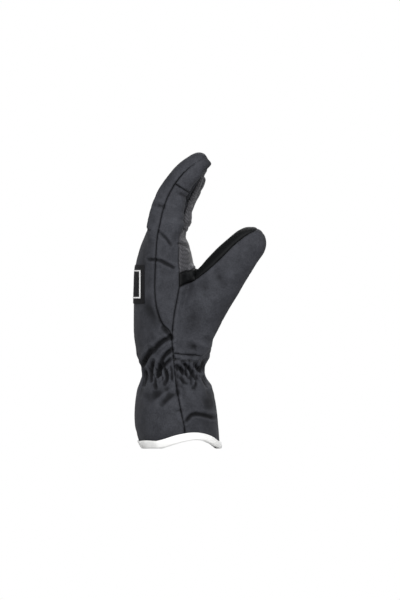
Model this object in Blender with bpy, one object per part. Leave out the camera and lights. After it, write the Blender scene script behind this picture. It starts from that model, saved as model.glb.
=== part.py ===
"""Padded ski glove for the left hand, standing on the hem of its cuff.

Fingers point up (+Z), the palm faces +X, the thumb side faces -Y.
Sizes are in millimetres here and turned into metres where the meshes are made.
"""
import math

import bmesh
import bpy

MM = 0.001

# Thickness of each layer, from the outside inwards, and the slack between pieces.
SLACK = 0.3
SHELL = 0.8
WADDING = 2.4
MEMBRANE = 0.4
LINING = 1.0
CUFF_WADDING = 1.2
CUFF_LINING = 0.8
ELASTIC = 1.0
BINDING = 0.9
LABEL = 0.6

# How far each layer lies below the outer face of the shell.
WADDING_OUT = SHELL + SLACK
WADDING_IN = WADDING_OUT + WADDING
MEMBRANE_OUT = WADDING_IN + SLACK
MEMBRANE_IN = MEMBRANE_OUT + MEMBRANE
LINING_OUT = MEMBRANE_IN + SLACK
LINING_IN = LINING_OUT + LINING
CUFF_WADDING_IN = WADDING_OUT + CUFF_WADDING
CUFF_LINING_OUT = CUFF_WADDING_IN + SLACK
CUFF_LINING_IN = CUFF_LINING_OUT + CUFF_LINING
ELASTIC_IN = WADDING_OUT + ELASTIC
BINDING_IN = CUFF_LINING_IN + SLACK

# Faces round the hand and round a digit.
HAND_SIDES = 20
DIGIT_SIDES = 10

# Heights of the wrist: the elastic, the step of the wadding above it, the end of the inner glove.
ELASTIC_LOW = 66.5
ELASTIC_HIGH = 77.5
WADDING_STEP = 80.0
INNER_END = 62.0
CUFF_TOP = 60.5
WEB = 206.0

# Hem: height of the arch at the thumb side and at the far side, and of the binding.
HEM_ARCH = 8.0
HEM_FLAT = 1.4
HEM_ARCH_ANGLE = 68.0
HEM_ARCH_SHARPNESS = 6
HEM_FADE = 40.0
BINDING_TALL = 7.0

# Hand and cuff: height, back of the hand, palm, half width, squareness.
HAND = (
    (0.0, -54.0, 19.0, 52.5, 2.2),
    (8.0, -58.6, 17.3, 53.0, 2.2),
    (25.0, -62.2, 15.4, 52.5, 2.2),
    (47.5, -61.4, 14.6, 49.0, 2.2),
    (60.0, -58.0, 9.8, 42.5, 2.2),
    (68.0, -55.4, 4.6, 37.5, 2.2),
    (76.0, -56.2, 3.6, 37.0, 2.2),
    (85.0, -59.6, 7.6, 41.5, 2.3),
    (105.0, -62.0, 7.0, 46.0, 2.4),
    (140.0, -62.2, -0.5, 49.5, 2.6),
    (168.0, -61.2, -6.3, 50.5, 2.7),
    (187.0, -57.8, -10.0, 51.0, 2.8),
    (200.0, -53.4, -13.5, 50.8, 3.0),
    (206.0, -50.6, -15.5, 50.0, 3.0),
)

# Feet of the fingers' centre lines, and where the side seams bend and end, below the web.
FINGER_FOOT = WEB - 19.4
LITTLE_FOOT = WEB - 21.4
BACK_BEND = WEB - 24.1
PALM_BEND = WEB - 29.4
FINGER_SEAM_FOOT = WEB - 8.0

# Each digit: foot of the centre line, lean at the foot and at the tip, bend, length,
# spread towards the tip, radius of the tip, and (share of length, half depth, half width).
FINGER_SIZES = (
    (0.0, 10.0, 8.0),
    (0.14, 16.6, 12.1),
    (0.4, 15.2, 12.0),
    (0.7, 13.2, 11.4),
    (1.0, 11.8, 10.8),
)
THUMB_SIZES = (
    (0.0, 9.0, 8.0),
    (0.12, 20.5, 17.0),
    (0.3, 22.6, 19.5),
    (0.7, 22.0, 18.0),
    (1.0, 18.5, 15.6),
)
INDEX = (-36.8, -37.8, FINGER_FOOT, 2.0, 59.0, 1.6, 105.0, -2.5, 11.5)
MIDDLE = (-35.6, -12.6, FINGER_FOOT, 12.0, 40.0, 1.3, 96.0, -0.8, 11.5)
RING = (-36.2, 12.6, FINGER_FOOT, 12.0, 43.0, 1.3, 89.0, 0.8, 11.5)
LITTLE = (-37.0, 37.8, LITTLE_FOOT, 11.0, 42.0, 1.3, 77.0, 2.5, 11.0)
THUMB = (-19.0, -22.0, 82.0, 16.0, 41.0, 0.9, 147.0, -15.5, 18.5)
FINGERS = (INDEX, MIDDLE, RING, LITTLE)
TIP_ANGLES = (35.0, 65.0)
DIGIT_SQUARENESS = 2.6
AXIS_STEPS = 60
SLIVER = 0.01
MITRE_LEAST = 0.3
FLAT = math.radians(0.2)

# Seams on the fingers, as a share of the half depth from the centre line (back -, palm +).
BACK_SEAM = -0.22
PALM_SEAM = 0.62
SEAM_SHARES = (0.24, 0.4, 0.55, 0.7, 0.85, 1.0, 1.25)
CAP_SHARE = 0.68
SIDE_WIDE = -36.4
THUMB_WIDE = -10.0
FINGER_CUT = WEB + 2.5
THUMB_CUT_SHARE = 0.56
THUMB_CUT_DEEP = 24.0

# Seam lines of the hand in the XZ plane, from the hem upwards.
SIDE_SEAM = (
    (-12.4, -20.0),
    (-12.9, 0.0),
    (-14.1, 14.9),
    (-18.4, 35.3),
    (-22.0, 54.1),
    (-24.3, 71.9),
    (-25.8, 89.5),
)
THUMB_ROOT_SEAM = (
    (-25.8, 89.5),
    (-14.1, 88.1),
    (-4.5, 87.4),
    (6.9, 90.1),
    (60.0, 92.6),
)
THUMB_SIDE_SEAM = (
    (-27.0, 102.0),
    (-26.4, 110.5),
    (-25.1, 124.1),
    (-22.1, 138.6),
    (-19.5, 152.0),
)
BACK_SIDE_SEAM = (
    (-28.7, 110.1),
    (-36.8, 117.0),
    (-41.3, 130.2),
    (-43.1, 143.4),
    (-43.5, 155.6),
    (-42.3, BACK_BEND),
    (-41.0, FINGER_SEAM_FOOT),
)
PALM_SIDE_SEAM = (
    (-19.7, 165.0),
    (-22.1, PALM_BEND),
    (-22.1, FINGER_SEAM_FOOT),
)
THUMB_BAND_SEAM = (
    (-5.8, 158.4),
    (7.7, 168.2),
    (21.1, 181.0),
    (31.1, 191.6),
    (43.7, 201.6),
    (52.6, 205.0),
    (60.0, 215.0),
)
CROTCH = (-3.9, 170.1)

# Corners of the leather band's zone that lie clear of the thumb.
LEATHER_CLEAR = (
    (60.0, 225.0),
    (24.0, 232.0),
    (-1.0, 182.0),
)
FAR = 120.0

# Label on the back of the hand, its side edges as angles round the hand.
LABEL_LOW = 136.3
LABEL_HIGH = 172.5
LABEL_FROM = 165.0
LABEL_TO = 235.0


def blend(low, high, share):
    return tuple(a + (b - a) * share for a, b in zip(low, high))


def at_station(table, key):
    """Row of a table at a place between its stations."""
    if key <= table[0][0]:
        return table[0][1:]
    for low, high in zip(table, table[1:]):
        if key <= high[0]:
            return blend(low[1:], high[1:], (key - low[0]) / (high[0] - low[0]))
    return table[-1][1:]


def squared(value, power):
    return math.copysign(abs(value) ** (2.0 / power), value)


def hem_lift(angle):
    """Height of the hem edge above the floor at an angle round the cuff."""
    off = abs(math.remainder(angle, 2 * math.pi)) - math.radians(HEM_ARCH_ANGLE)
    arch = HEM_ARCH * ((1 + math.cos(off)) / 2) ** HEM_ARCH_SHARPNESS
    return max(0.0, arch - HEM_FLAT)


def hand_ring(height, depth, drop=0.0):
    """Corners of the hand at a height, moved inwards by a depth."""
    back, palm, half, power = at_station(HAND, height)
    middle = (back + palm) / 2
    reach = (palm - back) / 2 - depth
    corners = []
    for side in range(HAND_SIDES):
        angle = 2 * math.pi * side / HAND_SIDES
        lift = hem_lift(angle) * max(0.0, 1 - height / HEM_FADE)
        corners.append((
            middle + reach * squared(math.cos(angle), power),
            (half - depth) * squared(math.sin(angle), power),
            height - drop + lift,
        ))
    return corners


def hand_heights(low, high):
    return [low] + [row[0] for row in HAND if low < row[0] < high] + [high]


def axis_of(digit):
    """Centre line of a digit as (share, x, y, z, lean)."""
    x, y, z, lean_foot, lean_tip, bend, length, spread, tip = digit
    run = length - tip
    points = []
    for step in range(AXIS_STEPS + 1):
        share = step / AXIS_STEPS
        lean = math.radians(lean_foot + (lean_tip - lean_foot) * share ** bend)
        points.append((share, x, y + spread * share, z, lean))
        x += math.sin(lean) * run / AXIS_STEPS
        z += math.cos(lean) * run / AXIS_STEPS
    return points


def on_axis(digit, share):
    """Centre and lean at a share of the length; past the end the line runs straight on."""
    points = axis_of(digit)
    x, y, z, lean = at_station(points, min(share, 1.0))
    more = max(0.0, share - 1.0) * (digit[6] - digit[8])
    return x + math.sin(lean) * more, y, z + math.cos(lean) * more, lean


def digit_ring(centre, half_deep, half_wide):
    x, y, z, lean = centre
    corners = []
    for side in range(DIGIT_SIDES):
        angle = 2 * math.pi * (side + 0.5) / DIGIT_SIDES
        across = half_deep * squared(math.cos(angle), DIGIT_SQUARENESS)
        corners.append((
            x + across * math.cos(lean),
            y + half_wide * squared(math.sin(angle), DIGIT_SQUARENESS),
            z - across * math.sin(lean),
        ))
    return corners


def digit_rings(digit, sizes, depth):
    """Rings of a digit from its foot inside the hand to its rounded tip."""
    rings = []
    for share, deep, wide in sizes:
        rings.append(digit_ring(on_axis(digit, share), deep - depth, wide - depth))
    x, y, z, lean = on_axis(digit, 1.0)
    deep, wide = sizes[-1][1:]
    for angle in TIP_ANGLES:
        out = (digit[8] - depth) * math.sin(math.radians(angle))
        thin = math.cos(math.radians(angle))
        centre = (x + math.sin(lean) * out, y, z + math.cos(lean) * out, lean)
        rings.append(digit_ring(centre, (deep - depth) * thin, (wide - depth) * thin))
    return rings


def to_object(name, bm):
    """Closed body with its faces out, as a scene object."""
    bmesh.ops.recalc_face_normals(bm, faces=bm.faces)
    mesh = bpy.data.meshes.new(name)
    bm.to_mesh(mesh)
    bm.free()
    body = bpy.data.objects.new(name, mesh)
    bpy.context.scene.collection.objects.link(body)
    return body


def tube(name, rings, closed_loop=False):
    """Body through a row of rings: capped at both ends, or joined end to end."""
    bm = bmesh.new()
    rows = [[bm.verts.new((x * MM, y * MM, z * MM)) for x, y, z in ring] for ring in rings]
    pairs = list(zip(rows, rows[1:]))
    if closed_loop:
        pairs.append((rows[-1], rows[0]))
    for low, high in pairs:
        for side in range(len(low)):
            after = (side + 1) % len(low)
            bm.faces.new((low[side], low[after], high[after]))
            bm.faces.new((low[side], high[after], high[side]))
    if not closed_loop:
        for row in (rows[0], rows[-1]):
            centre = bm.verts.new(sum((v.co for v in row[1:]), row[0].co.copy()) / len(row))
            for side in range(len(row)):
                bm.faces.new((row[side], row[(side + 1) % len(row)], centre))
    return to_object(name, bm)


def prism(name, slices):
    """Body along Y through outlines of the XZ plane, given as (y, outline)."""
    bm = bmesh.new()
    rows = [[bm.verts.new((x * MM, y * MM, z * MM)) for x, z in line] for y, line in slices]
    for low, high in zip(rows, rows[1:]):
        for side in range(len(low)):
            after = (side + 1) % len(low)
            bm.faces.new((low[side], low[after], high[after], high[side]))
    bm.faces.new(rows[0])
    bm.faces.new(rows[-1])
    bmesh.ops.triangulate(bm, faces=bm.faces)
    return to_object(name, bm)


def cut(body, tool, operation="INTERSECT"):
    """Join, keep or take away what a tool body covers, and drop the tool."""
    step = body.modifiers.new("cut", "BOOLEAN")
    step.operation = operation
    step.solver = "EXACT"
    step.object = tool
    graph = bpy.context.evaluated_depsgraph_get()
    mesh = bpy.data.meshes.new_from_object(body.evaluated_get(graph))
    body.modifiers.clear()
    body.data = mesh
    bpy.data.objects.remove(tool)
    return body


def copy_of(body, name):
    twin = bpy.data.objects.new(name, body.data.copy())
    bpy.context.scene.collection.objects.link(twin)
    return twin


def glove_form(name, rings, depth):
    """Hand, four fingers and thumb as one body, everything moved inwards by a depth."""
    form = tube(name, rings)
    for digit in FINGERS:
        cut(form, tube("digit", digit_rings(digit, FINGER_SIZES, depth)), "UNION")
    cut(form, tube("digit", digit_rings(THUMB, THUMB_SIZES, depth)), "UNION")
    return form


def hand_rings(low, depth, low_depth=None):
    """Rings of the hand from a height up to the web; below the step the depth may differ."""
    places = [(height, depth) for height in hand_heights(low, WEB)]
    if low_depth is not None:
        below = [(height, low_depth) for height in hand_heights(low, WADDING_STEP)]
        places = below + [place for place in places if place[0] > WADDING_STEP]
    rings = [hand_ring(height, here) for height, here in places[:-1]]
    return rings + [hand_ring(WEB, depth, depth)]


def layer(name, low, outer, inner, low_outer=None):
    """Layer of the whole glove between two depths, open at its lower end."""
    body = glove_form(name, hand_rings(low, outer, low_outer), outer)
    rings = [hand_ring(low, inner, FAR)] + hand_rings(low, inner)
    return cut(body, glove_form("hollow", rings, inner), "DIFFERENCE")


def band(name, low, high, outer, inner):
    """Ring of even thickness round the wrist or cuff."""
    heights = hand_heights(low, high)
    rings = [hand_ring(height, outer) for height in heights]
    rings += [hand_ring(height, inner) for height in reversed(heights)]
    return tube(name, rings, closed_loop=True)


def finger_line(digit, share_across, end=SEAM_SHARES[-1]):
    """Points along a finger seam in the XZ plane, up to a share of the length."""
    first = SEAM_SHARES[0]
    line = []
    for mark in SEAM_SHARES:
        share = first + (mark - first) * (end - first) / (SEAM_SHARES[-1] - first)
        x, y, z, lean = on_axis(digit, share)
        out = share_across * at_station(FINGER_SIZES, share)[0]
        line.append((x + out * math.cos(lean), z - out * math.sin(lean)))
    return line


def grown(outline, amount):
    """Outline moved outwards by an amount, with its corners kept."""
    area = sum(a[0] * b[1] - b[0] * a[1] for a, b in zip(outline, outline[1:] + outline[:1]))
    way = amount * math.copysign(1.0, area)
    moved = []
    for index, (x, z) in enumerate(outline):
        before = outline[index - 1]
        after = outline[(index + 1) % len(outline)]
        first = math.atan2(z - before[1], x - before[0])
        second = math.atan2(after[1] - z, after[0] - x)
        half = math.remainder(second - first, 2 * math.pi) / 2
        reach = way / max(MITRE_LEAST, math.cos(half))
        moved.append((x + reach * math.sin(first + half), z - reach * math.cos(first + half)))
    return moved


def gap_places():
    """Middles of the three gaps between the fingers."""
    return [(a[1] + b[1]) / 2 for a, b in zip(FINGERS, FINGERS[1:])]


def zone_over_fingers(name, outline_of, grow, y_from=-FAR, y_to=FAR):
    """Zone whose outline follows each finger in turn."""
    edges = [y_from - grow] + gap_places() + [y_to + grow]
    slices = []
    for index, digit in enumerate(FINGERS):
        if edges[index + 1] <= y_from or edges[index] >= y_to:
            continue
        outline = grown(outline_of(digit), grow)
        slices.append((max(edges[index], y_from - grow) + SLACK, outline))
        slices.append((min(edges[index + 1], y_to + grow) - SLACK, outline))
    return prism(name, slices)


def side_line():
    return SIDE_SEAM + THUMB_SIDE_SEAM[:1] + BACK_SIDE_SEAM


def back_outline(digit):
    """Everything on the back of the hand up to the side seam."""
    line = list(side_line()) + finger_line(digit, BACK_SEAM)
    return line + [(line[-1][0], 2 * FAR + WEB), (-FAR, 2 * FAR + WEB), (-FAR, -FAR / 2),
                   (SIDE_SEAM[0][0], -FAR / 2)]


def strip_outline(digit):
    """Side strip of the index finger and of the hand below it."""
    up = list(BACK_SIDE_SEAM) + finger_line(digit, BACK_SEAM, CAP_SHARE)
    down = list(THUMB_SIDE_SEAM + PALM_SIDE_SEAM)
    down += finger_line(digit, PALM_SEAM, CAP_SHARE)
    return up + down[::-1]


def fork_outline(digit):
    """Strip between two fingers, from below the web to past the tips."""
    end = CAP_SHARE if digit is INDEX else SEAM_SHARES[-1]
    up = list(BACK_SIDE_SEAM[-1:]) + finger_line(digit, BACK_SEAM, end)
    down = list(PALM_SIDE_SEAM[-1:]) + finger_line(digit, PALM_SEAM, end)
    return up + down[::-1]


def cap_outline():
    """Tip of the index finger in front of its cross seam."""
    root = finger_line(INDEX, BACK_SEAM, CAP_SHARE)[-1]
    line = [root] + [point for point in finger_line(INDEX, BACK_SEAM) if point[1] > root[1] + SLACK]
    x, y, z, lean = on_axis(INDEX, CAP_SHARE)
    low = (x + FAR / 4 * math.cos(lean), z - FAR / 4 * math.sin(lean))
    return line + [(low[0] + FAR / 2, line[-1][1]), (low[0] + FAR / 2, low[1]), low]


def thumb_outline():
    """Outer face of the thumb, from its root seam to the leather band."""
    root = list(THUMB_ROOT_SEAM)
    side = list(THUMB_SIDE_SEAM)
    band_line = list(THUMB_BAND_SEAM)
    return root[::-1] + side + band_line + [(FAR, band_line[-1][1]), (FAR, root[-1][1])]


def leather_outline():
    """Leather band on the inner face of the thumb."""
    return list(THUMB_BAND_SEAM + LEATHER_CLEAR) + [CROTCH]


def crotch_outline():
    """Leather piece between the thumb and the palm."""
    return [PALM_SIDE_SEAM[0], CROTCH, THUMB_BAND_SEAM[0], THUMB_SIDE_SEAM[-1]]


def cuff_outline():
    """Palm side of the wrist and cuff, below the root of the thumb."""
    line = list(SIDE_SEAM) + list(THUMB_ROOT_SEAM[1:])
    return line + [(FAR, line[-1][1]), (FAR, line[0][1])]


def strip_zone(grow):
    outline = grown(strip_outline(INDEX), grow)
    return prism("strip", [(-FAR, outline), (SIDE_WIDE + grow, outline)])


def cap_zone(grow):
    outline = grown(cap_outline(), grow)
    return prism("cap", [(-FAR, outline), (gap_places()[0], outline)])


def fork_zone(place, grow):
    return zone_over_fingers("fork", fork_outline, grow, FINGERS[place][1], FINGERS[place + 1][1])


def flat_zone(outline, grow, y_to):
    line = grown(outline, grow)
    return prism("zone", [(-FAR, line), (y_to + grow, line)])


def largest_part(body):
    """Keep the largest connected part of a body."""
    bm = bmesh.new()
    bm.from_mesh(body.data)
    bm.faces.ensure_lookup_table()
    left = set(bm.faces)
    parts = []
    while left:
        part = [left.pop()]
        for face in part:
            near = {other for edge in face.edges for other in edge.link_faces} & left
            left -= near
            part.extend(near)
        parts.append(part)
    parts.sort(key=lambda part: sum(face.calc_area() for face in part))
    for part in parts[:-1]:
        bmesh.ops.delete(bm, geom=part, context="FACES")
    bm.to_mesh(body.data)
    bm.free()
    return body


def panel(shell, name, keep):
    """Panel of the shell that lies in one zone."""
    return largest_part(cut(copy_of(shell, name), keep))


def shell_panels():
    """Cut the outer layer of the glove into its sewn panels."""
    shell = layer("shell", BINDING + 2 * SLACK, 0.0, SHELL)
    inset = -SLACK / 2
    outset = SLACK / 2
    back = panel(shell, "back_panel", zone_over_fingers("zone", back_outline, inset))
    strip = panel(shell, "index_side_strip", strip_zone(inset))
    cap = panel(shell, "index_tip_cap", cap_zone(inset))
    forks = []
    for place, name in enumerate(("index_middle", "middle_ring", "ring_little")):
        forks.append(panel(shell, "fourchette_" + name, fork_zone(place, inset)))
    thumb = panel(shell, "thumb_shell", flat_zone(thumb_outline(), inset, THUMB_WIDE))
    leather = panel(shell, "thumb_leather", flat_zone(leather_outline(), inset, THUMB_WIDE))
    crotch = panel(shell, "thumb_crotch", flat_zone(crotch_outline(), inset, THUMB_WIDE))
    cuff = panel(shell, "palm_cuff_panel", flat_zone(cuff_outline(), inset, FAR))
    away = [
        zone_over_fingers("zone", back_outline, outset),
        strip_zone(outset),
        cap_zone(outset),
        fork_zone(0, outset),
        fork_zone(1, outset),
        fork_zone(2, outset),
        flat_zone(thumb_outline(), outset, THUMB_WIDE),
        flat_zone(leather_outline(), outset, THUMB_WIDE),
        flat_zone(crotch_outline(), outset, THUMB_WIDE),
        flat_zone(cuff_outline(), outset, FAR),
    ]
    palm = copy_of(shell, "palm_panel")
    for zone in away:
        cut(palm, zone, "DIFFERENCE")
    largest_part(palm)
    bpy.data.objects.remove(shell)
    return back, strip, cap, forks, thumb, leather, crotch, cuff, palm


def thumb_block(grow):
    """Block round the free part of the thumb, square to its centre line."""
    x, y, z, lean = on_axis(THUMB, THUMB_CUT_SHARE)
    ahead = (math.sin(lean), math.cos(lean))
    across = (math.cos(lean), -math.sin(lean))
    corners = []
    deep = -THUMB_CUT_DEEP - grow
    for along, aside in ((-grow, deep), (FAR, deep), (FAR, FAR), (-grow, FAR)):
        corners.append((x + ahead[0] * along + across[0] * aside,
                        z + ahead[1] * along + across[1] * aside))
    return prism("zone", [(-FAR, corners), (THUMB_WIDE + grow, corners)])


def finger_block(place, grow):
    """Block round one finger above the web."""
    edges = [-FAR] + gap_places() + [FAR]
    low = FINGER_CUT - grow
    box = [(-FAR, low), (FAR, low), (FAR, low + FAR), (-FAR, low + FAR)]
    return prism("zone", [(edges[place], box), (edges[place + 1], box)])


def wadding_pieces():
    """Padding between the shell and the waterproof insert, one piece a digit."""
    whole = layer("wadding", INNER_END, WADDING_OUT, WADDING_IN, ELASTIC_IN + SLACK)
    inset = -SLACK / 2
    outset = SLACK / 2
    pieces = [cut(copy_of(whole, "wadding_thumb"), thumb_block(inset))]
    for place, name in enumerate(("index", "middle", "ring", "little")):
        pieces.append(cut(copy_of(whole, "wadding_" + name), finger_block(place, inset)))
    cut(whole, thumb_block(outset), "DIFFERENCE")
    low = FINGER_CUT - outset
    box = [(-FAR, low), (FAR, low), (FAR, low + FAR), (-FAR, low + FAR)]
    cut(whole, prism("zone", [(-FAR, box), (FAR, box)]), "DIFFERENCE")
    whole.name = "wadding_hand"
    return pieces + [whole]


def hem_binding():
    """Folded tape over the lower edge of the cuff."""
    section = (
        (-BINDING - SLACK, BINDING_TALL),
        (-BINDING - SLACK, 0.0),
        (BINDING_IN + BINDING, 0.0),
        (BINDING_IN + BINDING, BINDING_TALL),
        (BINDING_IN, BINDING_TALL),
        (BINDING_IN, BINDING),
        (-SLACK, BINDING),
        (-SLACK, BINDING_TALL),
    )
    rings = [hand_ring(height, depth) for depth, height in section]
    return tube("hem_binding", rings, closed_loop=True)


def on_hand(height, place, depth):
    """Point of the hand at a height and a place counted in faces."""
    ring = hand_ring(height, depth)
    low = int(place) % HAND_SIDES
    return blend(ring[low], ring[(low + 1) % HAND_SIDES], place - int(place))


def label_patch():
    """Rectangular woven patch sewn on the back of the hand."""
    first = LABEL_FROM / 360 * HAND_SIDES
    last = LABEL_TO / 360 * HAND_SIDES
    places = [first] + list(range(int(first) + 1, math.ceil(last))) + [last]
    rings = []
    for height in hand_heights(LABEL_LOW, LABEL_HIGH):
        outer = [on_hand(height, place, -SLACK - LABEL) for place in places]
        inner = [on_hand(height, place, -SLACK) for place in reversed(places)]
        rings.append(outer + inner)
    bm = bmesh.new()
    rows = [[bm.verts.new((x * MM, y * MM, z * MM)) for x, y, z in ring] for ring in rings]
    count = len(rows[0])
    for low, high in zip(rows, rows[1:]):
        for side in range(count):
            after = (side + 1) % count
            bm.faces.new((low[side], low[after], high[after]))
            bm.faces.new((low[side], high[after], high[side]))
    for row in (rows[0], rows[-1]):
        for side in range(len(places) - 1):
            bm.faces.new((row[side], row[side + 1], row[count - 2 - side], row[count - 1 - side]))
    return to_object("label_patch", bm)


def material(name, colour, roughness):
    made = bpy.data.materials.new(name)
    made.use_nodes = True
    face = made.node_tree.nodes["Principled BSDF"]
    face.inputs["Base Color"].default_value = (*colour, 1.0)
    face.inputs["Roughness"].default_value = roughness
    face.inputs["Metallic"].default_value = 0.0
    made.diffuse_color = (*colour, 1.0)
    return made


def tidy(body):
    """Join faces that lie in one plane and drop the slivers that cutting leaves."""
    bm = bmesh.new()
    bm.from_mesh(body.data)
    bmesh.ops.remove_doubles(bm, verts=bm.verts, dist=SLIVER * MM)
    bmesh.ops.dissolve_degenerate(bm, edges=bm.edges, dist=SLIVER * MM)
    bmesh.ops.dissolve_limit(bm, angle_limit=FLAT, verts=bm.verts, edges=bm.edges)
    bmesh.ops.triangulate(bm, faces=bm.faces)
    bmesh.ops.recalc_face_normals(bm, faces=bm.faces)
    bm.to_mesh(body.data)
    bm.free()
    largest_part(body)


def paint(pieces, made):
    for piece in pieces:
        piece.data.materials.clear()
        piece.data.materials.append(made)


def centre(bodies):
    """Move the whole glove so that its box stands over the origin."""
    corners = [vertex.co for body in bodies for vertex in body.data.vertices]
    middle_x = (min(c.x for c in corners) + max(c.x for c in corners)) / 2
    middle_y = (min(c.y for c in corners) + max(c.y for c in corners)) / 2
    for body in bodies:
        for vertex in body.data.vertices:
            vertex.co.x -= middle_x
            vertex.co.y -= middle_y


def build():
    back, strip, cap, forks, thumb, leather, crotch, cuff, palm = shell_panels()
    wadding = wadding_pieces()
    low = BINDING + 2 * SLACK
    insert = layer("waterproof_insert", INNER_END, MEMBRANE_OUT, MEMBRANE_IN)
    lining = layer("lining_glove", INNER_END, LINING_OUT, LINING_IN)
    wadding.append(band("wadding_cuff", low, CUFF_TOP, WADDING_OUT, CUFF_WADDING_IN))
    cuff_lining = band("lining_cuff", low, CUFF_TOP, CUFF_LINING_OUT, CUFF_LINING_IN)
    elastic = band("wrist_elastic", ELASTIC_LOW, ELASTIC_HIGH, WADDING_OUT, ELASTIC_IN)
    binding = hem_binding()
    label = label_patch()
    paint([back, strip, cap, thumb, cuff] + forks,
          material("shell_fabric", (0.045, 0.047, 0.055), 0.75))
    paint([palm], material("grip_fabric", (0.068, 0.068, 0.08), 0.6))
    paint([leather, crotch], material("black_leather", (0.0085, 0.0095, 0.0095), 0.45))
    paint([label], material("label_weave", (0.0154, 0.0154, 0.016), 0.7))
    paint([binding], material("white_binding", (0.86, 0.86, 0.86), 0.8))
    paint([elastic], material("elastic_tape", (0.02, 0.02, 0.02), 0.8))
    paint(wadding, material("wadding", (0.7, 0.7, 0.68), 0.95))
    paint([insert], material("membrane", (0.45, 0.46, 0.48), 0.5))
    paint([lining, cuff_lining], material("lining_fleece", (0.05, 0.05, 0.055), 0.95))
    bodies = list(bpy.context.scene.objects)
    for body in bodies:
        tidy(body)
    centre(bodies)


for old in list(bpy.data.objects):
    bpy.data.objects.remove(old)
build()
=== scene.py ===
import math
from collections import namedtuple

import bmesh
import bpy
import numpy as np
from mathutils import Matrix, Vector, bvhtree, kdtree, noise


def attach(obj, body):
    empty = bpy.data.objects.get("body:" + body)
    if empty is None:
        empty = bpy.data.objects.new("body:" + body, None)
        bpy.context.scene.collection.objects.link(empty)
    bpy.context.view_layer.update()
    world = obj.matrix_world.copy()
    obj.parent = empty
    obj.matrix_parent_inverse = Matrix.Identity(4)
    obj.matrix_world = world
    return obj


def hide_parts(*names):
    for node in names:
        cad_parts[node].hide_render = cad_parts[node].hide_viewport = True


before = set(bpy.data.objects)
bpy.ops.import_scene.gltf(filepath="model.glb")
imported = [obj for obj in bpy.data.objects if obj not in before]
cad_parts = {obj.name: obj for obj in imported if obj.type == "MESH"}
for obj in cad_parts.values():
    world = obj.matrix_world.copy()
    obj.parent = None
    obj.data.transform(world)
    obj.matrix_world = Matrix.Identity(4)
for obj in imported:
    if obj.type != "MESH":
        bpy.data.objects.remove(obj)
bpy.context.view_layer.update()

# Sizes are millimetres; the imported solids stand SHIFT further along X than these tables.
MM = 0.001
SHIFT = 1.2
FAR = 120.0  # past every point of the glove
VOXEL, CLOTH_VOXEL, INNER_VOXEL = 1.1, 4.0, 2.0
SLIT = 0.95  # from a finger's side to the plane between it and the next

# Hand and cuff: height, back of the hand, palm, half width, squareness.
HAND = (
    (0.0, -54.0, 19.0, 52.5, 2.2), (8.0, -59.3, 17.3, 53.0, 2.2), (17.0, -62.0, 16.3, 52.8, 2.2),
    (25.0, -62.4, 15.4, 52.5, 2.2),
    (47.5, -61.4, 14.6, 49.0, 2.2), (60.0, -58.0, 9.8, 42.5, 2.2), (68.0, -55.4, 4.6, 37.5, 2.2),
    (76.0, -56.2, 3.6, 37.0, 2.2), (85.0, -59.6, 7.6, 41.5, 2.3), (105.0, -62.0, 7.0, 46.0, 2.4),
    (140.0, -62.2, -0.5, 49.5, 2.5), (168.0, -61.2, -6.3, 50.5, 2.45),
    (187.0, -57.8, -10.0, 51.0, 2.45), (200.0, -53.4, -13.5, 50.8, 2.6),
    (206.0, -50.6, -15.5, 50.0, 2.7),
)
# Digits: foot of the centre line, lean in degrees at foot and tip, how late it bends, length,
# how far the tip stands aside, radius of the tip.
Digit = namedtuple("Digit", "x y z lean_foot lean_tip bend length spread tip")
INDEX = Digit(-36.8, -37.8, 186.6, 2.0, 59.0, 1.6, 105.0, -2.5, 11.5)
MIDDLE = Digit(-35.6, -12.6, 186.6, 12.0, 40.0, 1.3, 96.0, -0.8, 11.5)
RING = Digit(-36.2, 12.6, 186.6, 12.0, 43.0, 1.3, 89.0, 0.8, 11.5)
LITTLE = Digit(-37.0, 37.8, 184.6, 11.0, 42.0, 1.3, 77.0, 2.5, 11.0)
THUMB = Digit(-19.0, -22.0, 82.0, 16.0, 41.0, 0.9, 147.0, -15.5, 18.5)
FINGERS = (INDEX, MIDDLE, RING, LITTLE)
FINGER_NAMES = ("index", "middle", "ring", "little")
GAPS = (-25.2, 0.0, 25.2)  # planes between the fingers
# Girths along a digit: share of its length, half depth, half width.
FINGER_SIZES = ((0.0, 10.0, 8.0), (0.14, 16.6, 12.1), (0.4, 15.2, 12.0), (0.7, 13.2, 11.4),
                (1.0, 11.8, 10.8))
THUMB_SIZES = ((0.0, 9.0, 8.0), (0.12, 20.5, 17.0), (0.3, 22.9, 19.5), (0.55, 23.0, 18.8),
               (0.7, 22.6, 18.0), (0.82, 20.8, 17.2), (0.92, 18.6, 16.4), (1.0, 16.5, 15.4))
# How far the thumb swells towards its lower edge, by share of its length.
THUMB_DROOP = ((0.0, 0.0), (0.4, 0.4), (0.6, 1.2), (0.7, 1.5), (0.82, 1.9), (0.92, 2.3), (1.0, 2.6))
# Skin in the fork between thumb and hand: middle and radii.
FORK_PLACE, FORK_SIZE = (SHIFT - 9.0, -24.0, 163.0), (7.5, 15.0, 10.0)

# Padding: how far the form is larger than its table, how much it is taken in before it is blown
# up, how far a point may travel, and the pressure.
HAND_PUFF = (-0.5, 0.35, 1.6, 320.0)
FINGER_PUFF = (-0.4, 0.15, 0.8, 1500.0)
THUMB_PUFF = (0.0, 0.35, 1.3, 800.0)
CLOTH_FRAMES = 20
SEAM_HOLD, WRIST_HOLD = 2.4, 9.0

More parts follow.
